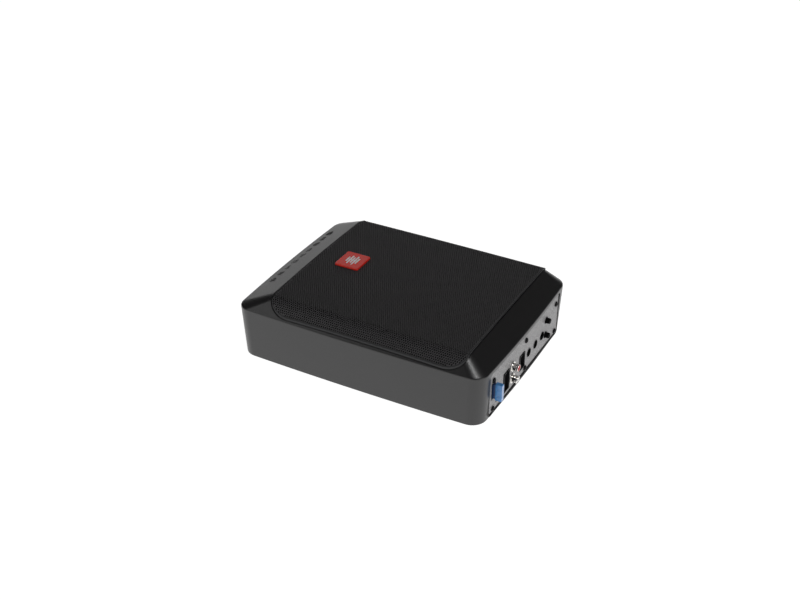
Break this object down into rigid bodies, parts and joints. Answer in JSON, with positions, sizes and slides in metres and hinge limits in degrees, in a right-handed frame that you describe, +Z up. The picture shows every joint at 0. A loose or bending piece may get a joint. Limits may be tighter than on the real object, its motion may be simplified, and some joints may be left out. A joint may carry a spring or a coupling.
{
  "type": "powered car subwoofer",
  "caption": "Low under-seat powered bass speaker: plastic housing, perforated steel grille over an oval woofer, and a recessed end panel of sockets and controls.",
  "frame": {"origin": "centre of the overall footprint, on the surface the rubber feet stand on", "axes": "+X along the length towards the control panel, +Y across the width away from the front, +Z up through the grille"},
  "size_m": [0.307, 0.2266, 0.0815],
  "materials": {
    "housing_plastic": "fine moulded texture, satin",
    "black_plastic": "satin",
    "rubber_feet": "matte",
    "black_steel": "perforated sheet, powder coated, satin",
    "dark_screws": "black zinc",
    "badge_red": "gloss",
    "badge_white": "gloss",
    "basket_steel": "semi-gloss",
    "plated_steel": "zinc plated",
    "ferrite": "sintered, matte",
    "cone_paper": "treated pulp, matte",
    "spider_cloth": "resin-treated cloth",
    "surround_rubber": "matte",
    "coil_copper": "enamelled copper wire",
    "panel_metal": "grey textured coat",
    "fuse_blue": "translucent blue, gloss",
    "fuse_metal": "zinc alloy",
    "nickel": "nickel plated",
    "rca_red": "gloss",
    "rca_white": "gloss",
    "led_lens": "dark lens, unlit",
    "circuit_laminate": "solder mask, semi-gloss",
    "heat_sink_metal": "extruded",
    "capacitor_sleeve": "shrink sleeve"
  },
  "bodies": {
    "housing": {"enclosure_shell": "housing_plastic", "base_plate": "black_plastic", "foot_1": "rubber_feet", "foot_2": "rubber_feet", "foot_3": "rubber_feet", "foot_4": "rubber_feet", "base_screw_1": "dark_screws", "base_screw_2": "dark_screws", "base_screw_3": "dark_screws", "base_screw_4": "dark_screws", "grille": "black_steel", "badge_plate": "badge_red", "badge_emblem": "badge_white", "woofer_basket": "basket_steel", "woofer_screw_1": "dark_screws", "woofer_screw_2": "dark_screws", "woofer_screw_3": "dark_screws", "woofer_screw_4": "dark_screws", "front_pole_plate": "plated_steel", "magnet": "ferrite", "back_plate_and_pole": "plated_steel", "surround": "surround_rubber", "spider": "spider_cloth", "control_panel": "panel_metal", "panel_screw_1": "dark_screws", "panel_screw_2": "dark_screws", "panel_screw_3": "dark_screws", "panel_screw_4": "dark_screws", "panel_screw_5": "dark_screws", "panel_screw_6": "dark_screws", "fuse_holder": "black_plastic", "power_socket": "black_plastic", "speaker_input_socket": "black_plastic", "rca_block": "black_plastic", "rca_barrel_right": "nickel", "rca_barrel_left": "nickel", "rca_insulator_red": "rca_red", "rca_insulator_white": "rca_white", "gain_potentiometer": "plated_steel", "boost_potentiometer": "plated_steel", "crossover_potentiometer": "plated_steel", "phase_switch": "black_plastic", "mode_switch": "black_plastic", "power_led": "led_lens", "circuit_board": "circuit_laminate", "heat_sink": "heat_sink_metal", "capacitor_1": "capacitor_sleeve", "capacitor_2": "capacitor_sleeve", "choke_coil": "coil_copper"},
    "moving_cone": {"cone": "cone_paper", "dust_cap": "cone_paper", "voice_coil": "coil_copper"},
    "gain_control": {"gain_knob": "black_plastic"},
    "boost_control": {"boost_knob": "black_plastic"},
    "crossover_control": {"crossover_knob": "black_plastic"},
    "phase_control": {"phase_button": "black_plastic"},
    "mode_control": {"mode_button": "black_plastic"},
    "fuse": {"fuse_body": "fuse_blue", "fuse_element": "fuse_metal"}
  },
  "joints": [
    {"name": "cone_travel", "type": "slide", "parent": "housing", "child": "moving_cone", "axis": [0, 0, 1], "range_m": [-0.004, 0.004], "stiffness_N_per_m": 2500, "deforming": ["surround", "spider"]},
    {"name": "gain_turn", "type": "hinge", "parent": "housing", "child": "gain_control", "pos_m": [0.1433, 0.01, 0.024], "axis": [1, 0, 0], "range_deg": [-140, 140]},
    {"name": "boost_turn", "type": "hinge", "parent": "housing", "child": "boost_control", "pos_m": [0.1433, 0.028, 0.024], "axis": [1, 0, 0], "range_deg": [-140, 140]},
    {"name": "crossover_turn", "type": "hinge", "parent": "housing", "child": "crossover_control", "pos_m": [0.1433, 0.046, 0.024], "axis": [1, 0, 0], "range_deg": [-140, 140]},
    {"name": "phase_press", "type": "slide", "parent": "housing", "child": "phase_control", "axis": [-1, 0, 0], "range_m": [0, 0.0025], "stiffness_N_per_m": 300},
    {"name": "mode_press", "type": "slide", "parent": "housing", "child": "mode_control", "axis": [-1, 0, 0], "range_m": [0, 0.0025], "stiffness_N_per_m": 300},
    {"name": "fuse_pull", "type": "slide", "parent": "housing", "child": "fuse", "axis": [1, 0, 0], "range_m": [0, 0.012]}
  ]
}
